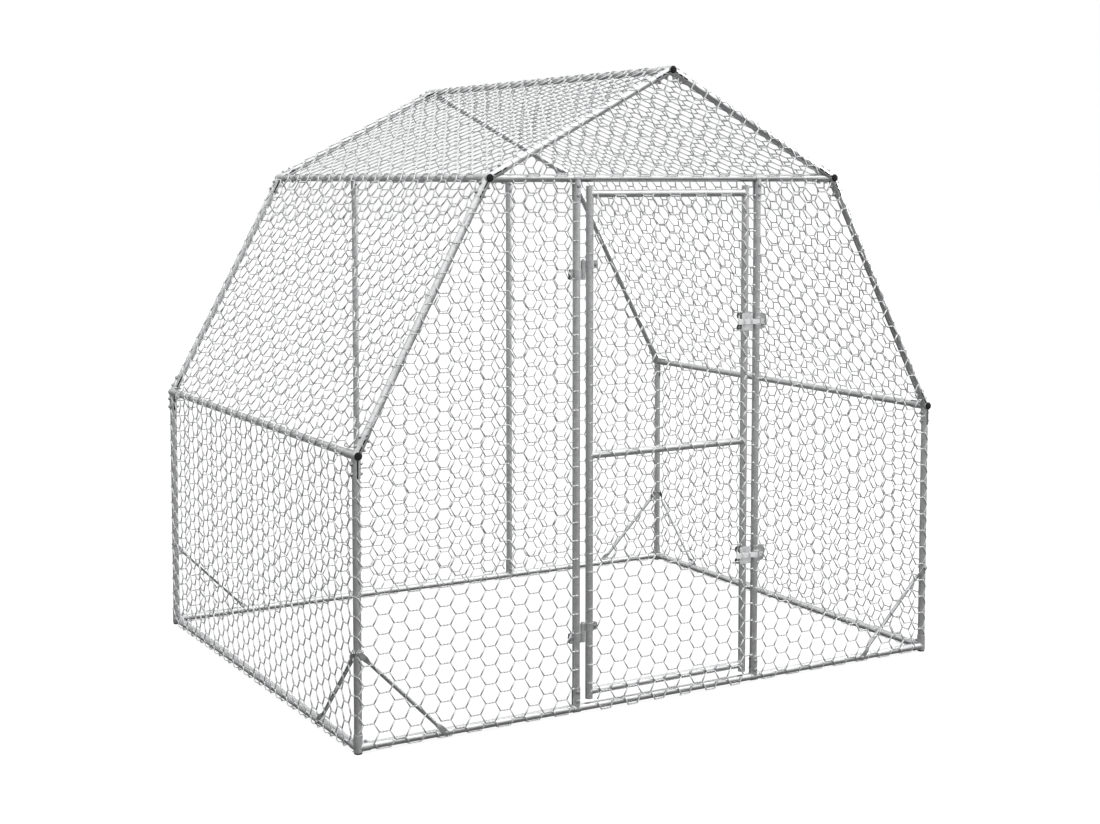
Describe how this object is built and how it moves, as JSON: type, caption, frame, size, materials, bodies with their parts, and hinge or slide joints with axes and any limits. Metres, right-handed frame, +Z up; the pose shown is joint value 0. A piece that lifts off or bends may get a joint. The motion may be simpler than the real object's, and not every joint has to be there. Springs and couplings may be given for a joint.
{
  "type": "walk-in chicken coop",
  "caption": "Walk-in poultry run: gambrel frame of clamped galvanised tube under hexagonal wire netting, with an outward-opening door on pin hinges and sliding latch bolts.",
  "frame": {"origin": "on the ground, at the centre of the plan", "axes": "+Z up; +X along the front, from the hinge side to the latch side; the door faces -Y"},
  "size_m": [2.3132, 1.814, 2.1264],
  "materials": {
    "galvanised_tube": "galvanised, satin",
    "pressed_steel": "galvanised, satin",
    "fasteners": "zinc plated",
    "net_wire": "galvanised wire",
    "black_plastic": "moulded"
  },
  "bodies": {
    "frame": {"back_bottom_rail": "galvanised_tube", "back_left_lower_rafter": "galvanised_tube", "back_left_post": "galvanised_tube", "back_left_stud": "galvanised_tube", "back_left_upper_rafter": "galvanised_tube", "back_net": "net_wire", "back_right_lower_rafter": "galvanised_tube", "back_right_post": "galvanised_tube", "back_right_stud": "galvanised_tube", "back_right_upper_rafter": "galvanised_tube", "back_tie_bar": "galvanised_tube", "bottom_corners": "pressed_steel", "corner_braces": "galvanised_tube", "eave_clamp_inners": "pressed_steel", "eave_clamp_outers": "pressed_steel", "frame_bolts": "fasteners", "front_bottom_rail": "galvanised_tube", "front_left_lower_rafter": "galvanised_tube", "front_left_net": "net_wire", "front_left_post": "galvanised_tube", "front_left_upper_rafter": "galvanised_tube", "front_right_lower_rafter": "galvanised_tube", "front_right_net": "net_wire", "front_right_post": "galvanised_tube", "front_right_upper_rafter": "galvanised_tube", "front_tie_bar": "galvanised_tube", "gable_net": "net_wire", "hinge_pin_straps": "pressed_steel", "knee_clamp_inners": "pressed_steel", "knee_clamp_outers": "pressed_steel", "latch_keepers": "pressed_steel", "left_bottom_rail": "galvanised_tube", "left_door_post": "galvanised_tube", "left_eave_purlin": "galvanised_tube", "left_knee_purlin": "galvanised_tube", "left_roof_net": "net_wire", "left_slope_net": "net_wire", "left_wall_net": "net_wire", "purlin_plugs": "black_plastic", "ridge_clamps": "pressed_steel", "ridge_purlin": "galvanised_tube", "right_bottom_rail": "galvanised_tube", "right_door_post": "galvanised_tube", "right_eave_purlin": "galvanised_tube", "right_knee_purlin": "galvanised_tube", "right_roof_net": "net_wire", "right_slope_net": "net_wire", "right_wall_net": "net_wire", "tee_clamps": "pressed_steel"},
    "door": {"door_bolts": "fasteners", "door_bottom_rail": "galvanised_tube", "door_hinge_stile": "galvanised_tube", "door_latch_stile": "galvanised_tube", "door_middle_rail": "galvanised_tube", "door_net": "net_wire", "door_top_rail": "galvanised_tube", "hinge_eye_straps": "pressed_steel", "latch_brackets": "pressed_steel"},
    "lower_latch_bolt": {"lower_latch_bolt": "pressed_steel"},
    "upper_latch_bolt": {"upper_latch_bolt": "pressed_steel"}
  },
  "joints": [
    {"name": "door_swing", "type": "hinge", "parent": "frame", "child": "door", "pos_m": [-0.336, -0.885, 0.255], "axis": [0, 0, -1], "range_deg": [0, 105]},
    {"name": "lower_latch_slide", "type": "slide", "parent": "door", "child": "lower_latch_bolt", "axis": [1, 0, 0], "range_m": [-0.03, 0.015]},
    {"name": "upper_latch_slide", "type": "slide", "parent": "door", "child": "upper_latch_bolt", "axis": [1, 0, 0], "range_m": [-0.03, 0.015]}
  ]
}
